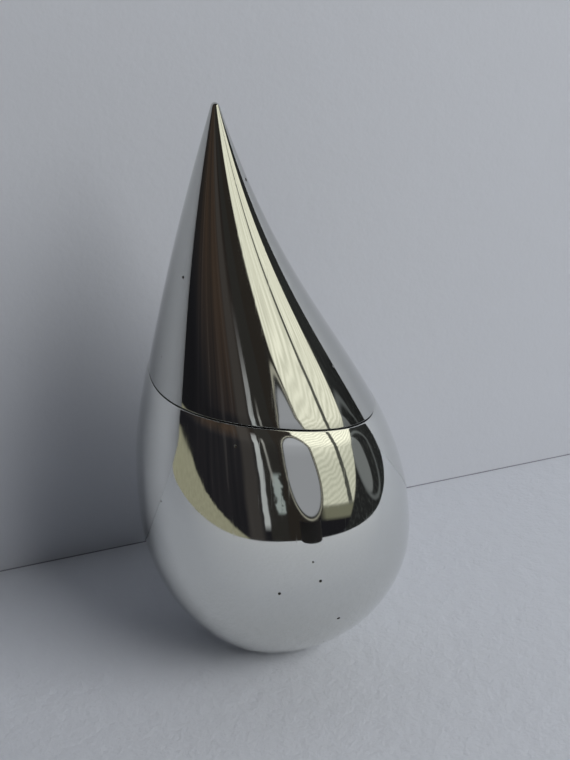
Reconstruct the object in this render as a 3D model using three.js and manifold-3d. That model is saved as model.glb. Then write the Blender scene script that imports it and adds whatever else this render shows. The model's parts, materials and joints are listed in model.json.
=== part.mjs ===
// A mirror-polished steel drop that stands on a small flat foot, leans to one side and curls back
// upright at its point. It parts along a hairline seam into a lift-off lid and a weighted bowl.
// Millimetres, +Z up. The origin is the centre of the foot pad's underside, and the drop leans
// towards -X.

import * as THREE from "three";
import { mergeVertices } from "three/addons/utils/BufferGeometryUtils.js";
import Module from "manifold-3d";

const wasm = await Module();
wasm.setup();

// ---- Driving dimensions ----

// The upright outline, before the drop is bent: a belly from the foot to the widest ring, a
// shoulder from there to the point, and a small ball that rounds the point.
const OVERALL_HEIGHT = 140;
const BELLY_RADIUS = 33.6;
const BELLY_HEIGHT = 38;
const BELLY_FULLNESS = 21.2;
const FOOT_RADIUS = 11;
const FOOT_FLARE = THREE.MathUtils.degToRad(22);
const FOOT_FULLNESS = 4;
const SHOULDER_FULLNESS = 31.3;
const POINT_FULLNESS = 63.6;
const POINT_HALF_ANGLE = THREE.MathUtils.degToRad(17.6);
const POINT_RADIUS = 1.2;

// Level sections are softly squared circles: how much further they reach at the diagonals.
const SQUARENESS = 0.0595;

// The line through the middles of the level sections: upright at the foot, upright at the point.
const LEAN = 13.5;
const BEND_LOWER_PULL = 81.5;
const BEND_UPPER_PULL = 57.5;

// The seam is flat and tilted, high on the side that the drop leans to.
const SEAM_HEIGHT = 73.3;
const SEAM_TILT = THREE.MathUtils.degToRad(9.3);
const SEAM_GAP = 0.3;
const LID_SETBACK = 0.25;

const WALL = 1.2;
const FIT_GAP = 0.3;
const SLIDING_CLEARANCE = 0.3;
const PIN_CLEARANCE = 0.1;

// The lid's point is a solid turned piece with a spigot that goes down into the shell.
const POINT_LENGTH = 16;
const POINT_SPIGOT_RADIUS = 4.2;
const POINT_SPIGOT_LENGTH = 5;

// The mouth: a ring inside the bowl's rim, and a collar under the lid that plugs into it.
const MOUTH_LAND_WIDTH = 4.1;
const MOUTH_RING_DEPTH = 6;
const COLLAR_FLANGE_DEPTH = 2.4;
const COLLAR_WALL = 1.8;
const COLLAR_DEPTH = 5;
const GASKET_SECTION_RADIUS = 0.85;
const GASKET_PROUD = 0.18;
const GASKET_DEPTH = 2.9;

const PIN_RADIUS = 1;
const PIN_STANDING = 1.9;
const PIN_SUNK = 4;

// Ballast and foot, bolted together through the bottom of the bowl.
const FOOT_CLEARANCE = 0.4;
const FOOT_PLATE_HEIGHT = 3.4;
const FOOT_PLATE_WALL = 1.1;
const PAD_THICKNESS = 1;
const BALLAST_TOP = 14;
const FLOOR_THICKNESS = 1.2;
const SCREW_RADIUS = 2;
const SCREW_CLEARANCE = 0.25;
const SCREW_HEAD_RADIUS = 3.8;
const SCREW_HEAD_DEPTH = 1.6;
const SCREW_SLOT_WIDTH = 1;
const SCREW_SLOT_DEPTH = 0.7;
const NUT_ACROSS_FLATS = 7;
const NUT_HEIGHT = 3.2;
const NUT_SIDES = 6;
const NUT_POCKET_CLEARANCE = 0.5;
const WASHER_RADIUS = 4.4;
const WASHER_THICKNESS = 0.8;

// Facets round the drop, round each turned piece, and up each stretch of the outline.
const DROP_FACETS = 52;
const TURNED_FACETS = 48;
const SMALL_FACETS = 20;
const BELLY_STEPS = 14;
const SHOULDER_STEPS = 18;
const POINT_STEPS = 4;
const LEAN_SEARCH_STEPS = 30;
const RIM_SEARCH_STEPS = 12;

const GASKET_FACETS = 8;

// Larger than the whole drop, for cutting it in two, and how far a cut runs past the face it opens.
const CUTTER = 3 * OVERALL_HEIGHT;
const CUT_PAST = 1;

// Points closer than this are one point.
const MERGE_DISTANCE = 1e-4;

// ---- The drop's own shape ----

const point = (x, y) => new THREE.Vector2(x, y);

/** The upright outline as three curves, from the foot's edge to the point. */
function outlineCurves() {
  const footEdge = point(FOOT_RADIUS, FOOT_CLEARANCE);
  const flare = point(Math.cos(FOOT_FLARE), Math.sin(FOOT_FLARE));
  const widest = point(BELLY_RADIUS, BELLY_HEIGHT);
  const ballHeight = OVERALL_HEIGHT - POINT_RADIUS;
  const along = point(Math.sin(POINT_HALF_ANGLE), -Math.cos(POINT_HALF_ANGLE));
  const outwards = point(Math.cos(POINT_HALF_ANGLE), Math.sin(POINT_HALF_ANGLE));
  const ballEdge = point(0, ballHeight).addScaledVector(outwards, POINT_RADIUS);
  return [
    new THREE.CubicBezierCurve(
      footEdge,
      footEdge.clone().addScaledVector(flare, FOOT_FULLNESS),
      widest.clone().setY(BELLY_HEIGHT - BELLY_FULLNESS),
      widest,
    ),
    new THREE.CubicBezierCurve(
      widest,
      widest.clone().setY(BELLY_HEIGHT + SHOULDER_FULLNESS),
      ballEdge.clone().addScaledVector(along, POINT_FULLNESS),
      ballEdge,
    ),
    new THREE.EllipseCurve(
      0, ballHeight, POINT_RADIUS, POINT_RADIUS, POINT_HALF_ANGLE, Math.PI / 2,
    ),
  ];
}

/** Points up the outline, each moved inwards by inset, square to the surface. */
function outlinePoints(inset) {
  const steps = [BELLY_STEPS, SHOULDER_STEPS, POINT_STEPS];
  const points = [];
  outlineCurves().forEach((curve, index) => {
    for (let i = index ? 1 : 0; i <= steps[index]; i += 1) {
      const at = curve.getPoint(i / steps[index]);
      const along = curve.getTangent(i / steps[index]);
      points.push(point(at.x - inset * along.y, at.y + inset * along.x));
    }
  });
  return points;
}

/** How far the middle of the level section at this height is moved sideways. */
function middleAt(height) {
  const bend = new THREE.CubicBezierCurve(
    point(0, 0),
    point(0, BEND_LOWER_PULL),
    point(-LEAN, OVERALL_HEIGHT - BEND_UPPER_PULL),
    point(-LEAN, OVERALL_HEIGHT),
  );
  let low = 0;
  let high = 1;
  for (let i = 0; i < LEAN_SEARCH_STEPS; i += 1) {
    const middle = (low + high) / 2;
    if (bend.getPoint(middle).y < height) low = middle;
    else high = middle;
  }
  return bend.getPoint(low).x;
}

/** How far out a softly squared section reaches in this direction, for a half width of 1. */
function squaredReach(angle) {
  return 1 + (SQUARENESS * (1 - Math.cos(4 * angle))) / 2;
}

/** The radius of the upright outline at this height. */
function radiusAt(height) {
  const points = outlinePoints(0);
  const above = points.findIndex((p) => p.y >= height);
  const [low, high] = [points[above - 1], points[above]];
  return THREE.MathUtils.mapLinear(height, low.y, high.y, low.x, high.x);
}

/** A solid drop, inset all over: the outline turned about Z, squared, and slid along the bend. */
function dropSolid(inset) {
  const smallest = Math.max(POINT_RADIUS, inset);
  const isPoint = inset < POINT_RADIUS;
  const sides = outlinePoints(inset).filter((p) => (isPoint ? p.x > 0 : p.x > smallest));
  const last = sides.at(-1);
  const first = sides[0];
  const tip = isPoint ? OVERALL_HEIGHT - inset : last.y;
  if (isPoint) sides.pop();
  const geometry = turned([point(0, first.y), ...sides, point(0, tip)], DROP_FACETS);
  const position = geometry.getAttribute("position");
  for (let i = 0; i < position.count; i += 1) {
    const x = position.getX(i);
    const y = position.getY(i);
    const reach = squaredReach(Math.atan2(y, x));
    position.setX(i, x * reach + middleAt(position.getZ(i)));
    position.setY(i, y * reach);
  }
  return solid(geometry);
}

// ---- Tools ----

/** A turned piece about Z. Each outline point is a radius and a height. */
function turned(outline, facets) {
  return new THREE.LatheGeometry(outline, facets).rotateX(Math.PI / 2);
}

/** An outline of a plain ring or disc, from its inner to its outer radius. */
function ringOutline(inner, outer, bottom, top) {
  if (inner === 0) return [point(0, bottom), point(outer, bottom), point(outer, top), point(0, top)];
  return [
    point(inner, bottom), point(outer, bottom), point(outer, top), point(inner, top),
    point(inner, bottom),
  ];
}

/** A ring or disc about Z as a solid. */
function ring(inner, outer, bottom, top, facets = TURNED_FACETS) {
  return solid(turned(ringOutline(inner, outer, bottom, top), facets));
}

/** A closed geometry as a solid that can be joined and cut. */
function solid(geometry) {
  const bare = geometry.clone();
  bare.deleteAttribute("normal");
  bare.deleteAttribute("uv");
  const merged = mergeVertices(bare, MERGE_DISTANCE);
  return new wasm.Manifold(
    new wasm.Mesh({
      numProp: 3,
      vertProperties: new Float32Array(merged.getAttribute("position").array),
      triVerts: new Uint32Array(merged.index.array),
    }),
  );
}

/** A solid as a geometry that can be drawn. */
function geometryOf(made) {
  const mesh = made.getMesh();
  const geometry = new THREE.BufferGeometry();
  geometry.setAttribute("position", new THREE.BufferAttribute(mesh.vertProperties, 3));
  geometry.setIndex(new THREE.BufferAttribute(mesh.triVerts, 1));
  geometry.computeVertexNormals();
  return geometry;
}

/** Everything between two heights, as a block to cut with. */
function slab(bottom, top) {
  const block = new THREE.BoxGeometry(CUTTER, CUTTER, top - bottom);
  return solid(block.translate(0, 0, (bottom + top) / 2));
}

/** The seam's own frame: its origin on the drop's middle line, its Z square to the seam. */
function seamFrame() {
  const frame = new THREE.Matrix4().makeRotationY(SEAM_TILT);
  return frame.setPosition(middleAt(SEAM_HEIGHT), 0, SEAM_HEIGHT);
}

const toSeam = (made) => made.transform(seamFrame().toArray());
const fromSeam = (made) => made.transform(seamFrame().invert().toArray());

/** Where the drop's surface crosses the seam, on its leaning side (-1) or the other side (+1). */
function rimDistance(side) {
  let height = SEAM_HEIGHT;
  let x = 0;
  for (let i = 0; i < RIM_SEARCH_STEPS; i += 1) {
    x = middleAt(height) + side * radiusAt(height) - middleAt(SEAM_HEIGHT);
    height = SEAM_HEIGHT - x * Math.tan(SEAM_TILT);
  }
  return x / Math.cos(SEAM_TILT);
}

/** The middle of the seam's outline, along the seam frame's X. */
const mouthMiddle = () => (rimDistance(1) + rimDistance(-1)) / 2;

const MOUTH_BORE_RADIUS = radiusAt(SEAM_HEIGHT) - WALL - MOUTH_LAND_WIDTH;

/** A ring or disc about the middle of the mouth, in the seam frame. */
function mouthRing(inner, outer, bottom, top) {
  return ring(inner, outer, bottom, top).translate([mouthMiddle(), 0, 0]);
}

/** The locating pin's middle, in the seam frame: on the leaning side, halfway across the land. */
function pinPlace() {
  const land = Math.abs(rimDistance(-1)) - WALL + mouthMiddle() - MOUTH_BORE_RADIUS;
  return [mouthMiddle() - MOUTH_BORE_RADIUS - land / 2, 0, 0];
}

/** A round bar on the locating pin's axis, in the seam frame. */
function pinBar(radius, bottom, top) {
  return ring(0, radius, bottom, top, SMALL_FACETS).translate(pinPlace());
}

// ---- Sub-parts: the lid ----

const JOINT_HEIGHT = OVERALL_HEIGHT - POINT_LENGTH;

/** The polished upper skin, open at the seam and at the top, where the point plugs in. */
function lidShell() {
  const skin = dropSolid(LID_SETBACK).subtract(dropSolid(LID_SETBACK + WALL));
  const aboveSeam = toSeam(slab(SEAM_GAP / 2, CUTTER));
  const throat = ring(
    0,
    POINT_SPIGOT_RADIUS + FIT_GAP,
    JOINT_HEIGHT - POINT_SPIGOT_LENGTH - CUT_PAST,
    JOINT_HEIGHT + CUT_PAST,
  ).translate([middleAt(JOINT_HEIGHT), 0, 0]);
  return skin.intersect(aboveSeam).intersect(slab(-CUTTER, JOINT_HEIGHT)).subtract(throat);
}

/** The solid turned point, with its spigot. */
function lidPoint() {
  const cone = dropSolid(LID_SETBACK).intersect(slab(JOINT_HEIGHT, CUTTER));
  const spigot = ring(
    0,
    POINT_SPIGOT_RADIUS,
    JOINT_HEIGHT - POINT_SPIGOT_LENGTH,
    JOINT_HEIGHT + CUT_PAST,
  );
  return cone.add(spigot.translate([middleAt(JOINT_HEIGHT), 0, 0]));
}

const COLLAR_RADIUS = MOUTH_BORE_RADIUS - SLIDING_CLEARANCE;
const GASKET_OUTER_RADIUS = COLLAR_RADIUS + GASKET_PROUD;
const GASKET_MIDDLE_RADIUS = GASKET_OUTER_RADIUS - GASKET_SECTION_RADIUS;

/** The collar that fills the lid's mouth and plugs into the bowl, with a groove for its gasket. */
function lidCollar() {
  const flangeTop = SEAM_GAP / 2 + COLLAR_FLANGE_DEPTH;
  const flange = fromSeam(dropSolid(LID_SETBACK + WALL + FIT_GAP))
    .intersect(slab(SEAM_GAP / 2, flangeTop));
  const plug = mouthRing(0, COLLAR_RADIUS, -COLLAR_DEPTH, flangeTop);
  const bore = mouthRing(
    0,
    COLLAR_RADIUS - COLLAR_WALL,
    -COLLAR_DEPTH - CUT_PAST,
    flangeTop + CUT_PAST,
  );
  const groove = mouthRing(
    GASKET_MIDDLE_RADIUS - GASKET_SECTION_RADIUS - PIN_CLEARANCE,
    COLLAR_RADIUS + CUT_PAST,
    -GASKET_DEPTH - GASKET_SECTION_RADIUS - PIN_CLEARANCE,
    -GASKET_DEPTH + GASKET_SECTION_RADIUS + PIN_CLEARANCE,
  );
  const pinHole = pinBar(PIN_RADIUS + SLIDING_CLEARANCE, 0, PIN_STANDING + SLIDING_CLEARANCE);
  return toSeam(flange.add(plug).subtract(bore).subtract(groove).subtract(pinHole));
}

/** The round-section gasket in the collar's groove. */
function collarGasket() {
  const section = new THREE.EllipseCurve(
    GASKET_MIDDLE_RADIUS, -GASKET_DEPTH, GASKET_SECTION_RADIUS, GASKET_SECTION_RADIUS,
  );
  const gasket = solid(turned(section.getPoints(GASKET_FACETS), TURNED_FACETS));
  return toSeam(gasket.translate([mouthMiddle(), 0, 0]));
}

// ---- Sub-parts: the bowl ----

/** The polished lower skin, open at the seam and at the foot. */
function bodyShell() {
  const hole = ring(0, FOOT_RADIUS, -CUT_PAST, WALL + FOOT_PLATE_HEIGHT);
  return dropSolid(0)
    .subtract(dropSolid(WALL))
    .subtract(hole)
    .intersect(toSeam(slab(-CUTTER, -SEAM_GAP / 2)));
}

/** The ring brazed inside the bowl's rim: its top is the land that the lid's collar sits on. */
function mouthLand() {
  const blank = fromSeam(dropSolid(WALL + FIT_GAP))
    .intersect(slab(-SEAM_GAP / 2 - MOUTH_RING_DEPTH, -SEAM_GAP / 2));
  const bore = mouthRing(0, MOUTH_BORE_RADIUS, -MOUTH_RING_DEPTH - CUT_PAST, CUT_PAST);
  const pinHole = pinBar(PIN_RADIUS + PIN_CLEARANCE, -PIN_SUNK - PIN_CLEARANCE, CUT_PAST);
  return toSeam(blank.subtract(bore).subtract(pinHole));
}

/** The dowel that lets the lid go on one way round only. */
function locatingPin() {
  return toSeam(pinBar(PIN_RADIUS, -PIN_SUNK, PIN_STANDING));
}

const PLATE_TOP = FOOT_CLEARANCE + FOOT_PLATE_HEIGHT;
const PLATE_RADIUS = FOOT_RADIUS - FIT_GAP;
const NUT_FLOOR = BALLAST_TOP - NUT_HEIGHT - WASHER_THICKNESS - FIT_GAP;
const NUT_CORNER_RADIUS = NUT_ACROSS_FLATS / 2 / Math.cos(Math.PI / NUT_SIDES);
const NUT_POCKET_RADIUS = Math.max(WASHER_RADIUS, NUT_CORNER_RADIUS) + NUT_POCKET_CLEARANCE;

/** The cast weight that fills the bottom of the bowl, with a pocket for the nut. */
function ballastWeight() {
  const plateRoom = ring(0, PLATE_RADIUS + FIT_GAP, -CUT_PAST, PLATE_TOP);
  const shank = ring(0, SCREW_RADIUS + SCREW_CLEARANCE, -CUT_PAST, BALLAST_TOP, SMALL_FACETS);
  const pocket = ring(0, NUT_POCKET_RADIUS, NUT_FLOOR, BALLAST_TOP + CUT_PAST, SMALL_FACETS);
  return dropSolid(WALL + FIT_GAP)
    .intersect(slab(-CUT_PAST, BALLAST_TOP))
    .subtract(plateRoom)
    .subtract(shank)
    .subtract(pocket);
}

/** The disc that covers the ballast and makes the floor of the bowl. */
function floorDisc() {
  return dropSolid(WALL + FIT_GAP)
    .intersect(slab(BALLAST_TOP, BALLAST_TOP + FLOOR_THICKNESS));
}

/** The washer under the nut. */
function ballastWasher() {
  const hole = SCREW_RADIUS + SCREW_CLEARANCE;
  return ring(hole, WASHER_RADIUS, NUT_FLOOR, NUT_FLOOR + WASHER_THICKNESS, SMALL_FACETS);
}

/** The hexagonal nut that clamps the ballast to the foot. */
function ballastNut() {
  const bottom = NUT_FLOOR + WASHER_THICKNESS;
  const hexagon = ring(0, NUT_CORNER_RADIUS, bottom, bottom + NUT_HEIGHT, NUT_SIDES);
  const bore = ring(
    0,
    SCREW_RADIUS + PIN_CLEARANCE,
    bottom - CUT_PAST,
    BALLAST_TOP + CUT_PAST,
    SMALL_FACETS,
  );
  return hexagon.subtract(bore);
}

/** The countersunk outline of the screw's head, grown by a clearance. */
function screwHeadOutline(clearance) {
  const bottom = PAD_THICKNESS;
  return [
    point(0, bottom),
    point(SCREW_HEAD_RADIUS + clearance, bottom),
    point(SCREW_RADIUS + clearance, bottom + SCREW_HEAD_DEPTH),
    point(0, bottom + SCREW_HEAD_DEPTH),
  ];
}

/** The slotted countersunk screw that goes up through the foot and the ballast. */
function footScrew() {
  const head = solid(turned(screwHeadOutline(0), SMALL_FACETS));
  const shank = ring(
    0,
    SCREW_RADIUS,
    PAD_THICKNESS + SCREW_SLOT_DEPTH,
    BALLAST_TOP - FIT_GAP,
    SMALL_FACETS,
  );
  const slot = new THREE.BoxGeometry(3 * SCREW_HEAD_RADIUS, SCREW_SLOT_WIDTH, SCREW_SLOT_DEPTH);
  slot.translate(0, 0, PAD_THICKNESS + SCREW_SLOT_DEPTH / 2);
  return head.add(shank).subtract(solid(slot));
}

/** The turned button that closes the hole in the skin, recessed below for the pad. */
function footPlate() {
  const button = ring(0, PLATE_RADIUS, FOOT_CLEARANCE, PLATE_TOP);
  const recess = ring(0, PLATE_RADIUS - FOOT_PLATE_WALL, -CUT_PAST, PAD_THICKNESS);
  const sink = solid(turned(screwHeadOutline(PIN_CLEARANCE), SMALL_FACETS));
  const hole = ring(0, SCREW_RADIUS + SCREW_CLEARANCE, 0, PLATE_TOP + CUT_PAST, SMALL_FACETS);
  return button.subtract(recess).subtract(sink).subtract(hole);
}

/** The pad that the drop stands on. */
function footPad() {
  return ring(0, PLATE_RADIUS - FOOT_PLATE_WALL - PIN_CLEARANCE, 0, PAD_THICKNESS);
}

// ---- Materials and assembly ----

const polishedSteel = { color: 0xd6d7d8, roughness: 0.04, metalness: 1 };
const satinSteel = { color: 0xb4b5b6, roughness: 0.35, metalness: 1 };
const brightFastener = { color: 0xc2c0ba, roughness: 0.3, metalness: 1 };
const castIron = { color: 0x4a4b4d, roughness: 0.8, metalness: 0.6 };
const blackRubber = { color: 0x161617, roughness: 0.85, metalness: 0 };

function piece(name, made, look) {
  const mesh = new THREE.Mesh(geometryOf(made), new THREE.MeshStandardMaterial(look));
  mesh.name = name;
  return mesh;
}

const lid = new THREE.Group();
lid.add(
  piece("lid_shell", lidShell(), polishedSteel),
  piece("lid_point", lidPoint(), polishedSteel),
  piece("lid_collar", lidCollar(), satinSteel),
  piece("collar_gasket", collarGasket(), blackRubber),
);

const bowl = new THREE.Group();
bowl.add(
  piece("body_shell", bodyShell(), polishedSteel),
  piece("mouth_ring", mouthLand(), satinSteel),
  piece("locating_pin", locatingPin(), brightFastener),
  piece("floor_disc", floorDisc(), satinSteel),
  piece("ballast_weight", ballastWeight(), castIron),
  piece("ballast_nut", ballastNut(), brightFastener),
  piece("ballast_washer", ballastWasher(), brightFastener),
  piece("foot_screw", footScrew(), brightFastener),
  piece("foot_plate", footPlate(), satinSteel),
  piece("foot_pad", footPad(), blackRubber),
);

const drop = new THREE.Group();
drop.add(lid, bowl);

export default drop;
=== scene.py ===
# A mirror-polished steel drop that leans to one side and stands on a small flat foot. A lid with a
# point lifts off a weighted bowl. Metres, +Z up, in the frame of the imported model.

import json
from functools import lru_cache
from math import atan2, cos, pi, radians, sin

import bpy
import numpy as np
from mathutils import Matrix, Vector


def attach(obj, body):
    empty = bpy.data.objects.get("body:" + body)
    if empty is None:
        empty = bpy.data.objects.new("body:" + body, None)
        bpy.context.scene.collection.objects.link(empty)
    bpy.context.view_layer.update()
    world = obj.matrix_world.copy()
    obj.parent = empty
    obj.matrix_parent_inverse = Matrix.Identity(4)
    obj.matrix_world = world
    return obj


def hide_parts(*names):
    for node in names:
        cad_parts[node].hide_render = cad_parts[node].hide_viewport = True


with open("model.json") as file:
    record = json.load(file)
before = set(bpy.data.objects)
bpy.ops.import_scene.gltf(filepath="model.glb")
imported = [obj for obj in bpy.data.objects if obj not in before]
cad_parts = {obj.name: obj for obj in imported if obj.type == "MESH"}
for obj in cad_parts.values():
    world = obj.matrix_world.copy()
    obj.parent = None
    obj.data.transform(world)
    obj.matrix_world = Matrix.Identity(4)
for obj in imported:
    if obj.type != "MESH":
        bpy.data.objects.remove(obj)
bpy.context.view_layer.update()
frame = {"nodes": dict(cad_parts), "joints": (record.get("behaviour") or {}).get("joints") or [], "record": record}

MM = 0.001

# ---- What the frame says ----

UP = np.array((0.0, 0.0, 1.0))
ACROSS = np.array((0.0, 1.0, 0.0))
SEAM_AXIS = np.array(next(j["axis"] for j in frame["joints"] if j["name"] == "lid_lift"), float)
SEAM_AXIS /= np.linalg.norm(SEAM_AXIS)
SEAM_OUT = np.cross(ACROSS, SEAM_AXIS)


def span(node, axis):
    """The lowest and highest place of a node's points along an axis."""
    mesh = frame["nodes"][node].data
    points = np.empty(3 * len(mesh.vertices), np.float32)
    mesh.vertices.foreach_get("co", points)
    along = points.reshape(-1, 3).astype(float) @ axis
    return float(along.min()), float(along.max())


def middle_of(node, axis):
    return sum(span(node, axis)) / 2


def radius_of(node):
    """Every node is as wide to one side of the lean's plane as to the other."""
    return span(node, ACROSS)[1]


# ---- Driving dimensions ----

WALL = 1.2 * MM
FIT_GAP = 0.3 * MM
LID_SETBACK = 0.25 * MM

OVERALL_HEIGHT = span("lid_point", UP)[1] + LID_SETBACK
BELLY_RADIUS = radius_of("body_shell")
BELLY_HEIGHT = 38 * MM
BELLY_FULLNESS = 21.2 * MM
FOOT_CLEARANCE = span("foot_plate", UP)[0]
FOOT_RADIUS = radius_of("foot_plate") + FIT_GAP
FOOT_FLARE = radians(22)
FOOT_FULLNESS = 4 * MM
SHOULDER_FULLNESS = 31.3 * MM
POINT_FULLNESS = 63.6 * MM
POINT_HALF_ANGLE = radians(17.6)
POINT_RADIUS = 1.2 * MM

# Level sections are softly squared circles: this is how much further they reach at the diagonals.
SQUARENESS = 0.0595

LEAN = 13.5 * MM
BEND_LOWER_PULL = 81.5 * MM
BEND_UPPER_PULL = 57.5 * MM

SEAM_LEVEL = (span("body_shell", SEAM_AXIS)[1] + span("lid_shell", SEAM_AXIS)[0]) / 2
HALF_GAP = (span("lid_shell", SEAM_AXIS)[0] - span("body_shell", SEAM_AXIS)[1]) / 2
JOINT_HEIGHT = span("lid_shell", UP)[1]
SPIGOT_BOTTOM = span("lid_point", UP)[0]
SPIGOT_RADIUS = 4.2 * MM


def above_seam(node):
    """How far a node's lowest and highest points lie above the seam's middle."""
    bottom, top = span(node, SEAM_AXIS)
    return bottom - SEAM_LEVEL, top - SEAM_LEVEL


SLIDING_CLEARANCE = 0.3 * MM
GROOVE_CLEARANCE = 0.1 * MM
EDGE_BREAK = 0.15 * MM

GASKET_BOTTOM, GASKET_TOP = above_seam("collar_gasket")
GASKET_OUTER_RADIUS = radius_of("collar_gasket")
GASKET_SECTION_RADIUS = (GASKET_TOP - GASKET_BOTTOM) / 2
GASKET_MIDDLE = (GASKET_TOP + GASKET_BOTTOM) / 2
GASKET_PROUD = 0.18 * MM
MOUTH_MIDDLE = middle_of("collar_gasket", SEAM_OUT)

COLLAR_BOTTOM, COLLAR_TOP = above_seam("lid_collar")
COLLAR_RADIUS = GASKET_OUTER_RADIUS - GASKET_PROUD
COLLAR_WALL = 1.8 * MM
MOUTH_RING_BOTTOM, MOUTH_RING_TOP = above_seam("mouth_ring")
MOUTH_BORE_RADIUS = COLLAR_RADIUS + SLIDING_CLEARANCE

PIN_BOTTOM, PIN_TOP = above_seam("locating_pin")
PIN_RADIUS = radius_of("locating_pin")
PIN_OUT = middle_of("locating_pin", SEAM_OUT)

PAD_TOP = span("foot_pad", UP)[1]
FOOT_PLATE_WALL = 1.1 * MM
SCREW_RADIUS = 2 * MM
SCREW_CLEARANCE = 0.25 * MM
SCREW_HEAD_DEPTH = 1.6 * MM

# The skins' edges at the seam: the rim's small round, and how deep and wide the edge draws in.
RIM_ROUND = 0.14 * MM
LID_RIM_ROUND = 0.09 * MM
BOWL_ROLL = (0.2 * MM, 3.2 * MM)
LID_ROLL = (0.05 * MM, 2.4 * MM)

# How fine the surfaces are: points round the drop and its pin, and rows up the skins and edges.
ROUND = 360
PIN_ROUND = 60
GASKET_ROWS = 24
CURVE_SAMPLES = 3000
ARC_SAMPLES = 300
OUTER_ROWS = 140
INNER_ROWS = 48
POINT_ROWS = 60
ROLL_ROWS = 16
CORNER_ROWS = 5
SEAM_ROUNDS = 30
SHARP_ANGLE = radians(35)

ANGLES = np.linspace(0, 2 * pi, ROUND, endpoint=False)
COS = np.cos(ANGLES)
SIN = np.sin(ANGLES)
REACH = 1 + SQUARENESS * (1 - np.cos(4 * ANGLES)) / 2

# ---- The drop's own shape ----


def cubic(first, second, third, last):
    """A cubic curve: the four corners, each times its share of the powers of t and 1 - t."""
    t = np.linspace(0, 1, CURVE_SAMPLES)[:, None]
    corners = [np.array(corner, float) for corner in (first, second, third, last)]
    shares = ((1 - t) ** 3, 3 * t * (1 - t) ** 2, 3 * t**2 * (1 - t), t**3)
    return sum(share * corner for share, corner in zip(shares, corners))


BEND = cubic(
    (0, 0),
    (0, BEND_LOWER_PULL),
    (-LEAN, OVERALL_HEIGHT - BEND_UPPER_PULL),
    (-LEAN, OVERALL_HEIGHT),
)


def middle_at(height):
    """How far the middle of the level section at this height is moved sideways."""
    return np.interp(height, BEND[:, 1], BEND[:, 0])


@lru_cache
def outline(inset):
    """The upright outline moved inwards by inset, as its radii, heights and lengths so far.

    One cubic goes from the foot's edge to the belly and one from the belly to the point, and an
    arc rounds the point. Each place moves along the outline's own normal.
    """
    ball = np.array((0, OVERALL_HEIGHT - POINT_RADIUS))
    tangent = np.array((sin(POINT_HALF_ANGLE), -cos(POINT_HALF_ANGLE)))
    ball_edge = ball + POINT_RADIUS * np.array((cos(POINT_HALF_ANGLE), sin(POINT_HALF_ANGLE)))
    foot_edge = np.array((FOOT_RADIUS, FOOT_CLEARANCE))
    flare = np.array((cos(FOOT_FLARE), sin(FOOT_FLARE)))
    widest = np.array((BELLY_RADIUS, BELLY_HEIGHT))
    rise = np.array((0, 1))
    turn = np.linspace(POINT_HALF_ANGLE, pi / 2, ARC_SAMPLES)[:, None]
    below = cubic(
        foot_edge, foot_edge + FOOT_FULLNESS * flare, widest - BELLY_FULLNESS * rise, widest
    )
    above = cubic(
        widest, widest + SHOULDER_FULLNESS * rise, ball_edge + POINT_FULLNESS * tangent, ball_edge
    )
    tip = ball + POINT_RADIUS * np.hstack((np.cos(turn), np.sin(turn)))
    line = np.vstack((below, above[1:], tip[1:]))
    along = np.gradient(line, axis=0)
    along /= np.linalg.norm(along, axis=1)[:, None]
    line = line + inset * np.stack((-along[:, 1], along[:, 0]), axis=1)
    line = line[line[:, 0] >= 0]
    steps = np.linalg.norm(np.diff(line, axis=0), axis=1)
    return line[:, 0], line[:, 1], np.concatenate(((0,), np.cumsum(steps)))


def skin(inset, along):
    """Points on the drop's surface, at lengths along its outline: one for each angle.

    The outline's radius is stretched by the section's reach, turned by the angle, and slid
    sideways by the bend at its height.
    """
    radii, heights, lengths = outline(inset)
    radius = np.interp(along, lengths, radii) * REACH
    height = np.interp(along, lengths, heights) + 0 * ANGLES
    return np.stack((radius * COS + middle_at(height), radius * SIN, height), axis=-1)


def length_at_height(inset, height):
    radii, heights, lengths = outline(inset)
    return np.full(ROUND, np.interp(height, heights, lengths))


def length_at_radius(inset, radius):
    """How far along the outline, at each angle, the squared section reaches out this far."""
    radii, heights, lengths = outline(inset)
    lower = heights < BELLY_HEIGHT
    return np.interp(radius / REACH, radii[lower], lengths[lower])


def length_at_seam(inset, offset):
    """How far along the outline, at each angle, the surface meets the seam's plane moved by offset.

    A height gives a point out at the surface, and the plane gives that point's height: going
    round this a few times settles on where the two agree.
    """
    radii, heights, lengths = outline(inset)
    height = length_at_height(inset, OVERALL_HEIGHT / 2)
    for _ in range(SEAM_ROUNDS):
        out = np.interp(height, heights, radii) * REACH * COS + middle_at(height)
        height = (SEAM_LEVEL + offset - SEAM_AXIS[0] * out) / SEAM_AXIS[2]
    return np.interp(height, heights, lengths)


def skin_at_seam(inset, offset):
    return skin(inset, length_at_seam(inset, offset))


def skin_rows(inset, start, end, rows):
    """Rings up the drop's surface, evenly spaced at each angle between two lengths."""
    share = np.linspace(0, 1, rows)[:, None]
    return list(skin(inset, start + share * (end - start)))


def level_circle(radius, height, centre=0.0):
    """A circle about Z at a height, which is a number or one height for each angle."""
    return np.stack((centre + radius * COS, radius * SIN, height + 0 * ANGLES), axis=-1)


def seam_point(out, offset):
    """A point in the seam's frame: so far out along it, and so far above it."""
    return out * SEAM_OUT + (SEAM_LEVEL + offset) * SEAM_AXIS


def seam_circle(radius, offset, centre):
    """A circle parallel to the seam, about a centre on the line of the lean."""
    spokes = radius * (COS[:, None] * SEAM_OUT + SIN[:, None] * ACROSS)
    return seam_point(centre, offset) + spokes


# ---- Building surfaces ----


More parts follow.
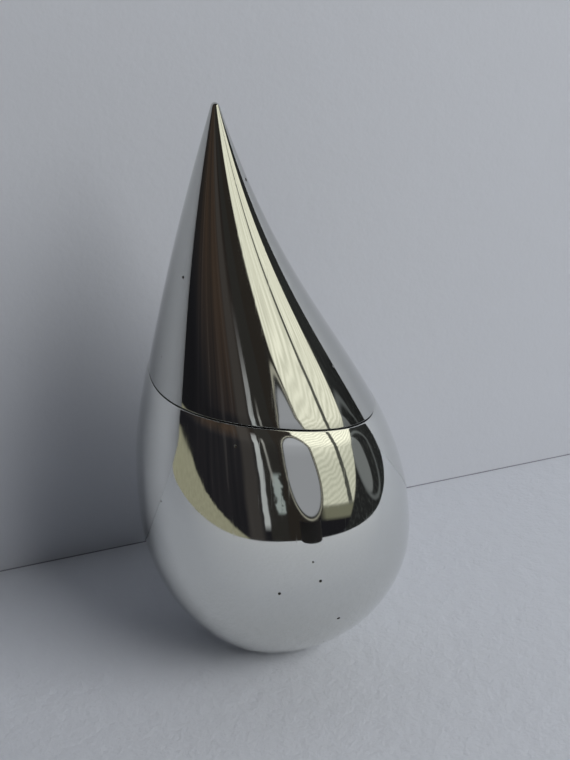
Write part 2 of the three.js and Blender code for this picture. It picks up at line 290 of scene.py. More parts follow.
def corner(before, at, after, size):
    """A rounded corner as a few rings: the curve (1-t)^2 a + 2t(1-t) c + t^2 b.

    Its ends a and b lie at a distance of size from the sharp corner c, towards its neighbours.
    """
    def towards(ring):
        way = ring - at
        return at + size * way / np.linalg.norm(way, axis=1)[:, None]

    first, last = towards(before), towards(after)
    shares = np.linspace(0, 1, CORNER_ROWS)
    return [(1 - t) ** 2 * first + 2 * t * (1 - t) * at + t**2 * last for t in shares]


def softened(rings, size):
    """A closed loop of rings with every corner rounded."""
    soft = []
    for index, ring in enumerate(rings):
        soft += corner(rings[index - 1], ring, rings[(index + 1) % len(rings)], size)
    return soft


def softened_between_poles(bottom, rings, top, size):
    """Rings between two poles with every corner rounded."""
    chain = [np.tile(bottom, (len(rings[0]), 1)), *rings, np.tile(top, (len(rings[0]), 1))]
    soft = []
    for before, ring, after in zip(chain, chain[1:], chain[2:]):
        soft += corner(before, ring, after, size)
    return soft


def closed_mesh(name, rings, poles=None):
    """A closed surface of four-sided faces between neighbouring rings of points.

    Face j between rings i and i + 1 has the corners (i, j), (i, j + 1), (i + 1, j + 1) and
    (i + 1, j). The last ring joins the first, or, with poles, a fan of triangles closes each end.
    """
    points = np.vstack(rings)
    around = len(rings[0])
    count = len(rings) - 1 if poles is not None else len(rings)
    first = np.arange(around)
    second = (first + 1) % around
    low = around * np.arange(count)[:, None]
    high = around * ((np.arange(count)[:, None] + 1) % len(rings))
    faces = np.stack((low + first, low + second, high + second, high + first), axis=-1)
    faces = faces.reshape(-1, 4).tolist()
    if poles is not None:
        points = np.vstack((points, *poles))
        bottom = len(points) - 2
        top = len(points) - 1
        last = around * (len(rings) - 1)
        faces += np.stack((np.full(around, bottom), second, first), axis=-1).tolist()
        faces += np.stack((np.full(around, top), last + first, last + second), axis=-1).tolist()
    mesh = bpy.data.meshes.new(name)
    mesh.from_pydata(points.tolist(), [], faces)
    mesh.polygons.foreach_set("use_smooth", np.ones(len(mesh.polygons), bool))
    mesh.set_sharp_from_angle(angle=SHARP_ANGLE)
    mesh.update()
    return mesh


def add_object(name, mesh, material):
    made = bpy.data.objects.new(name, mesh)
    bpy.context.scene.collection.objects.link(made)
    mesh.materials.append(material)
    return made


def add_piece(name, mesh, node, material):
    """A piece that stands for a node, rides on its body and takes its finish."""
    bodies = frame["record"]["behaviour"]["bodies"]
    body = next(body for body, members in bodies.items() if node in members)
    made = add_object(name, mesh, material)
    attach(made, body)
    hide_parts(node)
    return made


def cut_away(mesh, cutter):
    """The mesh with another closed mesh cut out of it."""
    blank = bpy.data.objects.new("blank", mesh)
    tool = bpy.data.objects.new("tool", cutter)
    for each in (blank, tool):
        bpy.context.scene.collection.objects.link(each)
    cut = blank.modifiers.new("cut", "BOOLEAN")
    cut.object = tool
    cut.operation = "DIFFERENCE"
    cut.solver = "EXACT"
    finished = bpy.data.meshes.new_from_object(
        blank.evaluated_get(bpy.context.evaluated_depsgraph_get())
    )
    for each in (blank, tool):
        bpy.data.objects.remove(each)
    finished.set_sharp_from_angle(angle=SHARP_ANGLE)
    return finished


# ---- Materials ----


class Wire:
    """One shader socket. Sums, products and the like of wires add their own Math nodes."""

    def __init__(self, finish, socket):
        self.finish = finish
        self.socket = socket

    def math(self, operation, *values):
        return self.finish.add("ShaderNodeMath", {"operation": operation}, dict(enumerate(values)))

    def __add__(self, other):
        return self.math("ADD", self, other)

    def __sub__(self, other):
        return self.math("SUBTRACT", self, other)

    def __rsub__(self, other):
        return self.math("SUBTRACT", other, self)

    def __mul__(self, other):
        return self.math("MULTIPLY", self, other)

    def __truediv__(self, other):
        return self.math("DIVIDE", self, other)

    __radd__ = __add__
    __rmul__ = __mul__

    def sine(self):
        return self.math("SINE", self)

    def root(self):
        return self.math("SQRT", self)

    def above(self, edge, blur):
        """0 below the edge and 1 above it, with a straight ramp as wide as the blur."""
        return self.finish.add(
            "ShaderNodeMapRange",
            {"clamp": True},
            {"Value": self, "From Min": edge - blur / 2, "From Max": edge + blur / 2},
        )

    def between(self, low, high, blur):
        """1 from the low edge to the high edge, and 0 outside them."""
        return self.above(low, blur) * (1 - self.above(high, blur))


# The colour sockets of a Mix node, by their places.
MIX_SHARE, MIX_LOW, MIX_HIGH, MIX_RESULT = 0, 6, 7, 2


class Finish:
    """A procedural material under construction."""

    def __init__(self, name):
        self.material = bpy.data.materials.new(name)
        self.material.use_nodes = True
        self.tree = self.material.node_tree
        self.tree.nodes.clear()
        self.place = None

    def add(self, kind, settings=None, inputs=None, output=0):
        """A node of this kind with its settings, then its sockets' values or links, as a wire."""
        node = self.tree.nodes.new(kind)
        for name, value in (settings or {}).items():
            setattr(node, name, value)
        for name, value in (inputs or {}).items():
            if isinstance(value, Wire):
                self.tree.links.new(value.socket, node.inputs[name])
            else:
                node.inputs[name].default_value = value
        return Wire(self, node.outputs[output])

    def here(self):
        """Object coordinates."""
        if self.place is None:
            self.place = self.add("ShaderNodeTexCoord", output="Object")
        return self.place

    def turned_place(self, turn=(0, 0, 0), stretch=(1, 1, 1)):
        """Object coordinates turned and stretched."""
        return self.add(
            "ShaderNodeMapping",
            {"vector_type": "POINT"},
            {"Vector": self.here(), "Rotation": turn, "Scale": stretch},
        )

    def noise(self, scale, detail=2.0, place=None, roughness=0.5):
        """Cloudy noise with about this many lumps to each unit of the place, or to a metre."""
        return self.add(
            "ShaderNodeTexNoise",
            {},
            {"Vector": place or self.here(), "Scale": scale, "Detail": detail,
             "Roughness": roughness},
        )

    def parts(self, vector):
        """The three numbers of a vector, as wires."""
        split = self.add("ShaderNodeSeparateXYZ", {}, {"Vector": vector}).socket.node
        return [Wire(self, socket) for socket in split.outputs]

    def blend(self, share, low, high):
        """Low where the share is 0 and high where it is 1, as colours."""
        low, high = (each if isinstance(each, Wire) else (*each, 1) for each in (low, high))
        inputs = {MIX_SHARE: share, MIX_LOW: low, MIX_HIGH: high}
        return self.add("ShaderNodeMix", {"data_type": "RGBA"}, inputs, MIX_RESULT)

    def brighten(self, colour, factor):
        """The colour times a number."""
        return self.add(
            "ShaderNodeVectorMath", {"operation": "SCALE"}, {0: colour, "Scale": factor}
        )

    def bump(self, height, depth, under=None):
        """A Bump node: depth is the height, in metres, that a value of 1 stands for."""
        inputs = {"Height": height, "Distance": depth}
        if under is not None:
            inputs["Normal"] = under
        return self.add("ShaderNodeBump", {}, inputs)

    def surface(self, **sockets):
        """Ends the material with a Principled shader. An underscore in a name is a space."""
        named = {name.replace("_", " "): value for name, value in sockets.items()}
        for name, value in named.items():
            if isinstance(value, tuple):
                named[name] = (*value, 1)
        shader = self.add("ShaderNodeBsdfPrincipled", {}, named)
        self.add_output(shader)
        return self.material

    def dull(self, colour, normal=None, one_sided=True):
        """Ends the material with a dull shader, which can be clear when seen from behind."""
        inputs = {"Base Color": colour, "Roughness": 0.9}
        if normal is not None:
            inputs["Normal"] = normal
        shader = self.add("ShaderNodeBsdfPrincipled", {}, inputs)
        self.add_output(self.clear_from_behind(shader) if one_sided else shader)
        return self.material

    def clear_from_behind(self, shader):
        """A mix of the shader with a clear one, which takes over on the surface's back."""
        behind = self.add("ShaderNodeNewGeometry", output="Backfacing")
        clear = self.add("ShaderNodeBsdfTransparent")
        return self.add("ShaderNodeMixShader", {}, {0: behind, 1: shader, 2: clear})

    def add_output(self, shader):
        end = self.tree.nodes.new("ShaderNodeOutputMaterial")
        self.tree.links.new(shader.socket, end.inputs["Surface"])


HAIRLINES = 2400
HAIRLINE_TURNS = ((0.1, 0.3, 0.2), (0.9, 0.2, 0.7), (0.3, 1.2, 2.1))
HAIRLINE_STRETCH = (1, 0.012, 0.03)
HAIRLINE_DEPTH = 0.0004 * MM
WAVE_DEPTH = 0.012 * MM
PIT_CELLS = 120
PIT_SIZE = 0.05
PIT_DEPTH = 0.06 * MM
PIT_COLOUR = (0.05, 0.045, 0.04)


def hairlines(finish):
    """Long thin scratches in three directions: the peaks of a noise that is drawn out one way."""
    grains = [
        finish.noise(HAIRLINES, 1, finish.turned_place(turn, HAIRLINE_STRETCH))
        for turn in HAIRLINE_TURNS
    ]
    first, second, third = (grain.above(0.73, 0.03) for grain in grains)
    return first + second + third


def pitting(finish):
    """Small pits with ragged edges: what lies close to the middle of a Voronoi cell."""
    cells = finish.add("ShaderNodeTexVoronoi", {}, {"Vector": finish.here(), "Scale": PIT_CELLS})
    chips = finish.noise(1500, 2)
    return 1 - (cells + 0.03 * (chips - 0.5)).above(PIT_SIZE, 0.018)


def polished_steel(name, tone):
    """Mirror-polished steel: faint hairlines, wiped smudges, a slow waviness and a few pits.

    tone is how much of the light it sends back, and it is a little warm.
    """
    finish = Finish(name)
    smudge = finish.noise(55, 4, roughness=0.6)
    wiped = finish.noise(120, 3, finish.turned_place((0.2, 0.5, 0.1), (1, 0.25, 1)))
    hairs = hairlines(finish)
    pits = pitting(finish)
    wave = finish.bump(finish.noise(32, 1), WAVE_DEPTH)
    scored = finish.bump(hairs, HAIRLINE_DEPTH, under=wave)
    clean = (tone, tone * 1.01, tone * 0.98)
    handled = (tone * 0.965, tone * 0.975, tone * 0.95)
    steel = finish.blend(smudge.between(0.35, 0.75, 0.4), clean, handled)
    dulled = 0.045 * smudge.above(0.56, 0.3) + 0.02 * wiped.above(0.6, 0.2)
    return finish.surface(
        Base_Color=finish.blend(pits, steel, PIT_COLOUR),
        Metallic=1.0,
        Roughness=0.028 + dulled + 0.05 * hairs + 0.5 * pits,
        Normal=finish.bump(1 - pits, PIT_DEPTH, under=scored),
    )


TURNING_LINES = 9000
TURNING_DRIFT = 0.04 * MM


def satin_steel(name, middle, tilt):
    """Turned steel with a fine satin: rings about an axis that leans by tilt through the middle."""
    finish = Finish(name)
    centred = finish.add(
        "ShaderNodeMapping",
        {"vector_type": "TEXTURE"},
        {"Vector": finish.here(), "Location": tuple(middle), "Rotation": (0, tilt, 0)},
    )
    across, along, _ = finish.parts(centred)
    radius = (across * across + along * along).root()
    drift = finish.noise(400, 2, centred)
    lines = finish.add(
        "ShaderNodeTexNoise",
        {"noise_dimensions": "1D"},
        {"W": radius + TURNING_DRIFT * drift, "Scale": TURNING_LINES, "Detail": 2},
    )
    stain = finish.noise(90, 3)
    return finish.surface(
        Base_Color=finish.blend(stain, (0.62, 0.625, 0.62), (0.70, 0.70, 0.69)),
        Metallic=1.0,
        Roughness=0.24 + 0.12 * lines + 0.08 * stain,
        Normal=finish.bump(lines, 0.006 * MM),
    )


def bright_fastener():
    """Bright machined steel with fine tool marks round the upright axis."""
    finish = Finish("bright_fastener")
    marks = finish.noise(1500, 2, finish.turned_place(stretch=(0.15, 0.15, 1.5)))
    wear = finish.noise(300, 3)
    return finish.surface(
        Base_Color=finish.blend(wear, (0.64, 0.63, 0.60), (0.76, 0.75, 0.72)),
        Metallic=1.0,
        Roughness=0.22 + 0.16 * wear + 0.06 * marks,
        Normal=finish.bump(marks, 0.01 * MM),
    )


def cast_iron():
    """Sand-cast iron: a coarse pebbled skin under fine grit, with a brown bloom in the hollows."""
    finish = Finish("cast_iron")
    lumps = finish.noise(420, 3)
    grit = finish.noise(2600, 2)
    bloom = finish.noise(110, 3).above(0.55, 0.25)
    rough = finish.bump(grit, 0.05 * MM, under=finish.bump(lumps, 0.3 * MM))
    iron = finish.blend(lumps, (0.045, 0.046, 0.05), (0.10, 0.10, 0.105))
    return finish.surface(
        Base_Color=finish.blend(bloom, iron, (0.10, 0.065, 0.045)),
        Metallic=0.55,
        Roughness=0.62 + 0.25 * grit,
        Normal=rough,
    )


def black_rubber():
    """Moulded rubber with a fine matt grain and a little dust."""
    finish = Finish("black_rubber")
    grain = finish.noise(3200, 2)
    dust = finish.noise(500, 4).above(0.62, 0.2)
    return finish.surface(
        Base_Color=finish.blend(dust, (0.011, 0.011, 0.012), (0.045, 0.044, 0.042)),
        Roughness=0.62 + 0.2 * grain,
        Normal=finish.bump(grain, 0.02 * MM),
    )


SEAM_TILT = atan2(SEAM_AXIS[0], SEAM_AXIS[2])

# The lid is the bowl's steel with a lower tone: painted shade that darkens all that the lid mirrors.
LID_POLISH_PAINTED_DARKER = polished_steel("lid_polish_painted_darker", 0.58)
BOWL_POLISH = polished_steel("bowl_polish", 0.76)
TURNED_ON_SEAM = satin_steel("satin_steel_mouth", seam_point(MOUTH_MIDDLE, 0), SEAM_TILT)
TURNED_UPRIGHT = satin_steel("satin_steel_foot", (0, 0, 0), 0)
FASTENER = bright_fastener()
IRON = cast_iron()
RUBBER = black_rubber()

# ---- The lid ----


def rolled_edge(inset, rim_offset, roll_depth, roll_width):
    """Rings where a skin's outside draws in towards its rim: by depth times share squared."""
    side = 1 if rim_offset > 0 else -1
    shares = np.linspace(0, 1, ROLL_ROWS)
    return [
        skin_at_seam(inset + roll_depth * share**2, rim_offset + side * roll_width * (1 - share))
        for share in shares
    ]


def open_skin(inset, rim_offset, rim_round, roll, outer_foot, inner_foot, outer_end, inner_end):
    """The rings of a thin skin: up or down its outside, round its rim at the seam, and back inside.

    rim_offset places the rim above or below the seam, and roll is how deep and how wide its edge
    draws in. The two feet are rings that close the other end, and the two ends are the lengths
    along the outlines where they meet it.
    """
    side = 1 if rim_offset > 0 else -1
    roll_depth, roll_width = roll
    edge = rolled_edge(inset, rim_offset, roll_depth, roll_width)
    outer_rim = edge.pop()
    inner_rim = skin_at_seam(inset + WALL, rim_offset)
    outer_start = length_at_seam(inset, rim_offset + side * roll_width)
    inner_start = length_at_seam(inset + WALL, rim_offset + 2 * side * rim_round)
    outside = skin_rows(inset, outer_end, outer_start, OUTER_ROWS)[:-1] + edge
    inside = skin_rows(inset + WALL, inner_start, inner_end, INNER_ROWS)
    rim = corner(outside[-1], outer_rim, inner_rim, rim_round)
    rim += corner(outer_rim, inner_rim, inside[0], rim_round)
    rings = outer_foot + outside + rim + inside + inner_foot
    return rings if side < 0 else rings[::-1]


def lid_skin():
    """The polished upper skin, open at the seam and at the top, where the point plugs in."""
    outer_end = length_at_height(LID_SETBACK, JOINT_HEIGHT)
    inner_end = length_at_height(LID_SETBACK + WALL, JOINT_HEIGHT)
    rings = open_skin(
        LID_SETBACK, HALF_GAP, LID_RIM_ROUND, LID_ROLL, [], [], outer_end, inner_end
    )
    mesh = closed_mesh("lid_upper_skin", rings)
    return add_piece("lid_upper_skin", mesh, "lid_shell", LID_POLISH_PAINTED_DARKER)


def lid_point():
    """The solid turned point: a round spigot below, and the end of the drop above."""
    centre = middle_at(JOINT_HEIGHT)
    start = length_at_height(LID_SETBACK, JOINT_HEIGHT)
    end = np.full(ROUND, outline(LID_SETBACK)[-1][-1])
    cone = skin_rows(LID_SETBACK, start, end, POINT_ROWS)
    spigot = [
        level_circle(SPIGOT_RADIUS - FIT_GAP, SPIGOT_BOTTOM, centre),
        level_circle(SPIGOT_RADIUS, SPIGOT_BOTTOM + FIT_GAP, centre),
        level_circle(SPIGOT_RADIUS, JOINT_HEIGHT, centre),
    ]
    poles = ((centre, 0, SPIGOT_BOTTOM), cone[-1][0])
    mesh = closed_mesh("lid_point_cone", spigot + cone[:-1], poles)
    return add_piece("lid_point_cone", mesh, "lid_point", LID_POLISH_PAINTED_DARKER)


def pin_bar(name, radius, bottom, top, edge=0.0):
    """A round bar on the locating pin's axis, with its ends' edges bevelled."""
    rings = [
        seam_circle(radius - edge, bottom, PIN_OUT),
        seam_circle(radius, bottom + edge, PIN_OUT),
        seam_circle(radius, top - edge, PIN_OUT),
        seam_circle(radius - edge, top, PIN_OUT),
    ]
    if edge == 0:
        rings = [rings[0], rings[-1]]
    poles = (seam_point(PIN_OUT, bottom), seam_point(PIN_OUT, top))
    return closed_mesh(name, [ring[::ROUND // PIN_ROUND] for ring in rings], poles)


def lid_collar():
    """The collar that fills the lid's mouth: a flange, and a plug with a groove for its gasket."""
    def circle(radius, offset):
        return seam_circle(radius, offset, MOUTH_MIDDLE)

    bore = COLLAR_RADIUS - COLLAR_WALL
    groove = GASKET_OUTER_RADIUS - 2 * GASKET_SECTION_RADIUS - GROOVE_CLEARANCE
    groove_half = GASKET_SECTION_RADIUS + GROOVE_CLEARANCE
    flange_inset = LID_SETBACK + WALL + FIT_GAP
    rings = [
        circle(bore, COLLAR_TOP),
        circle(bore, COLLAR_BOTTOM),
        circle(COLLAR_RADIUS, COLLAR_BOTTOM),
        circle(COLLAR_RADIUS, GASKET_MIDDLE - groove_half),
        circle(groove, GASKET_MIDDLE - groove_half),
        circle(groove, GASKET_MIDDLE + groove_half),
        circle(COLLAR_RADIUS, GASKET_MIDDLE + groove_half),
        circle(COLLAR_RADIUS, HALF_GAP),
        skin_at_seam(flange_inset, HALF_GAP),
        skin_at_seam(flange_inset, COLLAR_TOP),
    ]
    blank = closed_mesh("collar_blank", softened(rings, EDGE_BREAK))
    hole = pin_bar("pin_hole", PIN_RADIUS + SLIDING_CLEARANCE, 0, PIN_TOP + SLIDING_CLEARANCE)
    mesh = cut_away(blank, hole)
    return add_piece("plug_in_collar", mesh, "lid_collar", TURNED_ON_SEAM)


def collar_gasket():
    """The round-section gasket: a small circle turned about the mouth's axis."""
    middle = GASKET_OUTER_RADIUS - GASKET_SECTION_RADIUS
    turns = np.linspace(0, 2 * pi, GASKET_ROWS, endpoint=False)
    rings = [
        seam_circle(
            middle + GASKET_SECTION_RADIUS * cos(turn),
            GASKET_MIDDLE + GASKET_SECTION_RADIUS * sin(turn),
            MOUTH_MIDDLE,
        )
        for turn in turns
    ]
    mesh = closed_mesh("round_gasket", rings)
    return add_piece("round_gasket", mesh, "collar_gasket", RUBBER)


# ---- The bowl ----


def bowl_skin():
    """The polished lower skin, open at the seam and at the foot."""
    outer_end = length_at_height(0, FOOT_CLEARANCE)
    inner_end = length_at_radius(WALL, FOOT_RADIUS)
    inner_foot = skin(WALL, inner_end)
    rings = open_skin(
        0,
        -HALF_GAP,
        RIM_ROUND,
        BOWL_ROLL,
        [level_circle(FOOT_RADIUS, FOOT_CLEARANCE)],
        [level_circle(FOOT_RADIUS, inner_foot[:, 2])],
        outer_end,
        inner_end,
    )
    mesh = closed_mesh("bowl_lower_skin", rings)
    return add_piece("bowl_lower_skin", mesh, "body_shell", BOWL_POLISH)


def mouth_land():
    """The ring inside the bowl's rim: squared outside, round inside, with a hole for the pin."""
    ring_inset = WALL + FIT_GAP
    rings = [
        skin_at_seam(ring_inset, MOUTH_RING_BOTTOM),
        skin_at_seam(ring_inset, MOUTH_RING_TOP),
        seam_circle(MOUTH_BORE_RADIUS, MOUTH_RING_TOP, MOUTH_MIDDLE),
        seam_circle(MOUTH_BORE_RADIUS, MOUTH_RING_BOTTOM, MOUTH_MIDDLE),
    ]
    blank = closed_mesh("mouth_blank", softened(rings, EDGE_BREAK))
    hole = pin_bar("pin_seat", PIN_RADIUS + GROOVE_CLEARANCE, PIN_BOTTOM - GROOVE_CLEARANCE, PIN_TOP)
    mesh = cut_away(blank, hole)
    return add_piece("mouth_land_ring", mesh, "mouth_ring", TURNED_ON_SEAM)


def locating_pin():
    """The dowel that lets the lid go on one way round only."""
    mesh = pin_bar("locating_dowel", PIN_RADIUS, PIN_BOTTOM, PIN_TOP, FIT_GAP)
    return add_piece("locating_dowel", mesh, "locating_pin", FASTENER)


def floor_disc():
    """The disc that covers the ballast: the drop's own section between two heights."""
    bottom, top = span("floor_disc", UP)
    inset = WALL + FIT_GAP
    rings = [skin(inset, length_at_height(inset, height)) for height in (bottom, top)]
    poles = ((middle_at(bottom), 0, bottom), (middle_at(top), 0, top))
    edged = softened_between_poles(poles[0], rings, poles[1], EDGE_BREAK)
    mesh = closed_mesh("compartment_floor", edged, poles)
    return add_piece("compartment_floor", mesh, "floor_disc", TURNED_UPRIGHT)


def foot_plate():
    """The turned button that closes the hole in the skin, recessed for the pad and countersunk."""
    bottom, top = span("foot_plate", UP)
    outer = radius_of("foot_plate")
    head = radius_of("foot_screw") + GROOVE_CLEARANCE
    rings = [
        level_circle(outer - FOOT_PLATE_WALL, bottom),
        level_circle(outer, bottom),
        level_circle(outer, top),
        level_circle(SCREW_RADIUS + SCREW_CLEARANCE, top),
        level_circle(SCREW_RADIUS + SCREW_CLEARANCE, PAD_TOP + SCREW_HEAD_DEPTH),
        level_circle(head, PAD_TOP),
        level_circle(outer - FOOT_PLATE_WALL, PAD_TOP),
    ]
    mesh = closed_mesh("foot_button", softened(rings, EDGE_BREAK))
    return add_piece("foot_button", mesh, "foot_plate", TURNED_UPRIGHT)


def foot_pad():
    """The pad that the drop stands on: a flat disc with rounded edges."""
    radius = radius_of("foot_pad")
    bottom = (0, 0, 0)
    top = (0, 0, PAD_TOP)
    rings = softened_between_poles(
        bottom, [level_circle(radius, 0), level_circle(radius, PAD_TOP)], top, 2 * EDGE_BREAK
    )
    mesh = closed_mesh("foot_rest_pad", rings, (bottom, top))
    return add_piece("foot_rest_pad", mesh, "foot_pad", RUBBER)


def dress_node(node, material):
    """A node whose shape is right keeps its mesh and gets the finished material."""
    for slot in frame["nodes"][node].material_slots:
        slot.material = material


# ---- The camera ----

CAMERA_AZIMUTH = radians(-12.15)
CAMERA_ELEVATION = radians(24.75)
CAMERA_DISTANCE = 1.9 * OVERALL_HEIGHT
AIM_HEIGHT = 0.521 * OVERALL_HEIGHT
AIM_RIGHT = 1.8 * MM
CAMERA_LENS = 52.1


def heading(azimuth, elevation=0.0):
    """The direction at an azimuth, 0 towards -Y and rising towards +X, and an elevation."""
    level = cos(elevation)
    return Vector((sin(azimuth) * level, -cos(azimuth) * level, sin(elevation)))


def add_camera():
    camera = bpy.data.objects.new("camera", bpy.data.cameras.new("camera"))
    bpy.context.scene.collection.objects.link(camera)
    back = heading(CAMERA_AZIMUTH, CAMERA_ELEVATION)
    right = heading(CAMERA_AZIMUTH + pi / 2)
    aim = AIM_RIGHT * right + Vector((0, 0, AIM_HEIGHT))
    camera.location = aim + CAMERA_DISTANCE * back
    camera.rotation_euler = (-back).to_track_quat("-Z", "Y").to_euler()
    camera.data.lens = CAMERA_LENS
    camera.data.clip_start = 0.01
    bpy.context.scene.camera = camera


# ---- The stage: the seen paper floor and wall, and what only the steel mirrors ----

STAGE_HALF_WIDTH = 0.9
WALL_TOP = 0.9
WALL_TURN = radians(9.1)
WALL_DISTANCE = 52.9 * MM
# How tall the strip of painted shadow at the wall's foot is, and how far in front of the wall it stands.
GAP_HEIGHT = 0.4 * MM
GAP_STEP = 0.1 * MM
FLOOR_GRAIN = 0.3 * MM
WALL_GRAIN = 0.08 * MM
# The paler paper colour is painted light: the floor's front, and the whole floor behind the wall, are painted in
# it.
PAINTED_LIGHT_PAPER = (0.80, 0.82, 0.86)

# The mirrored sheet has a bowed front edge. Its turns are in degrees to the right of the camera.
SHEET_RISE = 0.05 * MM
SHEET_REACH = 160 * MM
SHEET_SPREAD = 0.0155 * MM
SHEET_NEAREST = 12
SHEET_TURNS = (-82, 116)
SHEET_BACK = (-0.38, STAGE_HALF_WIDTH)
SHEET_COLUMNS = 80

POST_TURN = radians(26.8)
POST_DISTANCE = 163 * MM
POST_RADIUS = 14 * MM
POST_HEIGHT = 25 * MM
POST_COLUMNS = 36

# The room is a patch of a ball about the drop, between these turns and rises in degrees.
ROOM_DISTANCE = 1.6
ROOM_TURNS = (-85, 130)
ROOM_RISES = (-24, 60)
ROOM_COLUMNS = 87
ROOM_ROWS = 35


def grid_patch(name, place, first, second, around=2, up=2):
    """An open sheet: place(u, v) on a grid of two parameters, with u and v kept as its own UV map."""
    u, v = np.meshgrid(np.linspace(*first, around), np.linspace(*second, up))
    points = place(u, v).reshape(-1, 3)
    index = np.arange(around * up).reshape(up, around)
    faces = np.stack((index[:-1, :-1], index[:-1, 1:], index[1:, 1:], index[1:, :-1]), axis=-1)
    mesh = bpy.data.meshes.new(name)
    mesh.from_pydata(points.tolist(), [], faces.reshape(-1, 4).tolist())
    corners = np.empty(len(mesh.loops), np.int32)
    mesh.loops.foreach_get("vertex_index", corners)
    pairs = np.stack((u.ravel(), v.ravel()), axis=-1)[corners]
    mesh.uv_layers.new(name="own").data.foreach_set("uv", pairs.ravel().astype(np.float32))
    return mesh


def paper(name, base, shade, depth, one_sided=False):
    """Heavy white paper: a fine felt grain, a slow cloudiness, and painted light, a paler colour to its front."""
    finish = Finish(name)
    tooth = finish.noise(900, 3, roughness=0.6)
    felt = finish.noise(240, 2)
    cloud = finish.noise(9, 3)
    _, back, _ = finish.parts(finish.here())
    # Painted light: the paper turns paler towards the front.
    painted_light_to_front = (-1 * back).above(0.11, 0.1)
    colour = finish.blend(painted_light_to_front, finish.blend(cloud, base, shade), PAINTED_LIGHT_PAPER)
    grain = finish.bump(felt, depth, under=finish.bump(tooth, depth / 2))
    return finish.dull(colour, grain, one_sided)


def flat_sheet(along, out):
    """A level sheet: u along one direction and v along another."""
    def place(u, v):
        return u[..., None] * along + v[..., None] * out

    return place


def front_edge(turn):
    """How far out the sheet reaches: the least of it plus a spread times the turn from there squared."""
    return SHEET_REACH + SHEET_SPREAD * (turn - SHEET_NEAREST) ** 2


def bowed_sheet(along, wall_foot):
    """A level sheet: straight lines from the wall's foot, at v 0, to its own bowed edge, at v 1."""
    def place(u, v):
        share = u[..., None]
        turn = SHEET_TURNS[0] + share * (SHEET_TURNS[1] - SHEET_TURNS[0])
        azimuth = np.radians(turn) + CAMERA_AZIMUTH
        ahead = np.concatenate((np.sin(azimuth), -np.cos(azimuth), 0 * azimuth), axis=-1)
        back = wall_foot + (SHEET_BACK[0] + share * (SHEET_BACK[1] - SHEET_BACK[0])) * along
        return (1 - v[..., None]) * back + v[..., None] * front_edge(turn) * ahead

    return place


def upright_sheet(along, foot):
    """A standing sheet: u along a level direction from its foot, and v up."""
    def place(u, v):
        return foot + u[..., None] * along + v[..., None] * UP

    return place


def turned_pair(turn):
    """Level directions: along a line turned by this much from X, and square to it, to the front."""
    return np.array((cos(turn), sin(turn), 0)), np.array((sin(turn), -cos(turn), 0))


def in_shade(name, colour):
    """A dull material for what lies in the shade, clear from behind."""
    return Finish(name).dull((*colour, 1))


def add_papers():
    """The seen floor and wall, and the gap between them as a thin dark line of painted shadow."""
    along, out = turned_pair(WALL_TURN)
    half = STAGE_HALF_WIDTH
    wall_foot = -WALL_DISTANCE * out
    floor_paper = paper("floor_paper", (0.63, 0.655, 0.715), (0.67, 0.695, 0.75), FLOOR_GRAIN)
    # The floor behind the wall is painted paler all over: painted light that brings it up to the floor in front.
    far_paper_painted_light = paper("far_paper_painted_light", PAINTED_LIGHT_PAPER, PAINTED_LIGHT_PAPER, FLOOR_GRAIN)
    wall_paper = paper("wall_paper", (0.58, 0.60, 0.65), (0.61, 0.63, 0.68), WALL_GRAIN, True)
    level = flat_sheet(along, out)
    upright = upright_sheet(along, wall_foot)
    crack = upright_sheet(along, wall_foot + GAP_STEP * out)
    floor = grid_patch("floor", level, (half, -half), (-WALL_DISTANCE, half))
    behind = grid_patch("floor_behind", level, (half, -half), (-half, -WALL_DISTANCE))
    wall = grid_patch("backdrop", upright, (-half, half), (0, WALL_TOP))
    gap_shadow_strip = grid_patch("gap_shadow_strip", crack, (-half, half), (0, GAP_HEIGHT))
    seen_floor = add_object("floor", floor, floor_paper)
    seen_floor.visible_glossy = False
    backdrop = add_object("backdrop", wall, wall_paper)
    backdrop.visible_shadow = False
    add_object("floor_behind", behind, far_paper_painted_light)
    # A thin dark strip at the wall's foot: painted shadow in the gap between wall and floor.
    add_object("gap_shadow_strip", gap_shadow_strip, in_shade("painted_gap_shadow", (0.26, 0.26, 0.30)))
    add_mirrored_sheet(along, wall_foot, floor_paper)


def add_mirrored_sheet(along, wall_foot, floor_paper):
    """The floor as the steel sees it: a sheet that ends a hand's breadth in front of the drop."""
    place = bowed_sheet(along, wall_foot + SHEET_RISE * UP)
    mesh = grid_patch("mirrored_sheet", place, (0, 1), (0, 1), SHEET_COLUMNS)
    only_mirrored(add_object("mirrored_sheet", mesh, floor_paper))


# What stands where in the mirrored room, in degrees to the right of the camera's side and degrees
# up. Each span is from, to, and how soft its ends are.
WALL_DARK = (0.012, 0.012, 0.014)
WALL_DARK_HIGH = (0.020, 0.017, 0.015)
HIGH_UP = (16, 10)

CURTAIN_TURNS = (-46, 2, 16)
CURTAIN_EDGE_TURNS = (-2, 7, 3)

DOOR_TURNS = (8, 11, 0.5)
DOOR_RISES = (-16, 21, 3)
BOARD_TURNS = (11, 20, 0.8)
PATCH_TURNS = (15.2, 18.6, 0.8)
PATCH_RISES = (-10, 4, 1.5)
GLINT_TURNS = (14.6, 15.8, 0.4)
GLINT_RISES = (2, 17, 3)
GLINT_LEAN = 0.1
PILLAR_TURNS = (20, 30, 0.7)

WINDOW_LEFT = (33, 1.2)
WINDOW_RIGHT = (69, 1.2)
WINDOW_RISES = (-8, 50, 2)
WINDOW_LEAN = 1.05
SILL_TURNS = (37, 66, 4)
SILL_RISES = (-13, -8, 1.5)
BAR_TURNS = (57, 60.5, 0.8)
BAR_LEAN = 0.13

# Each ellipse is the turn and rise of its middle, and its half width and half height.
OVAL = (30.5, 4.5, 8.2, 17)
CHAIR = (82, 3, 8, 11)
ARCH = (88, 2, 14, 13)

TABLE_TOP = (-2, 1)
TABLE_EDGE = (-20.5, 1)
TABLE_SLOPE = 0.37


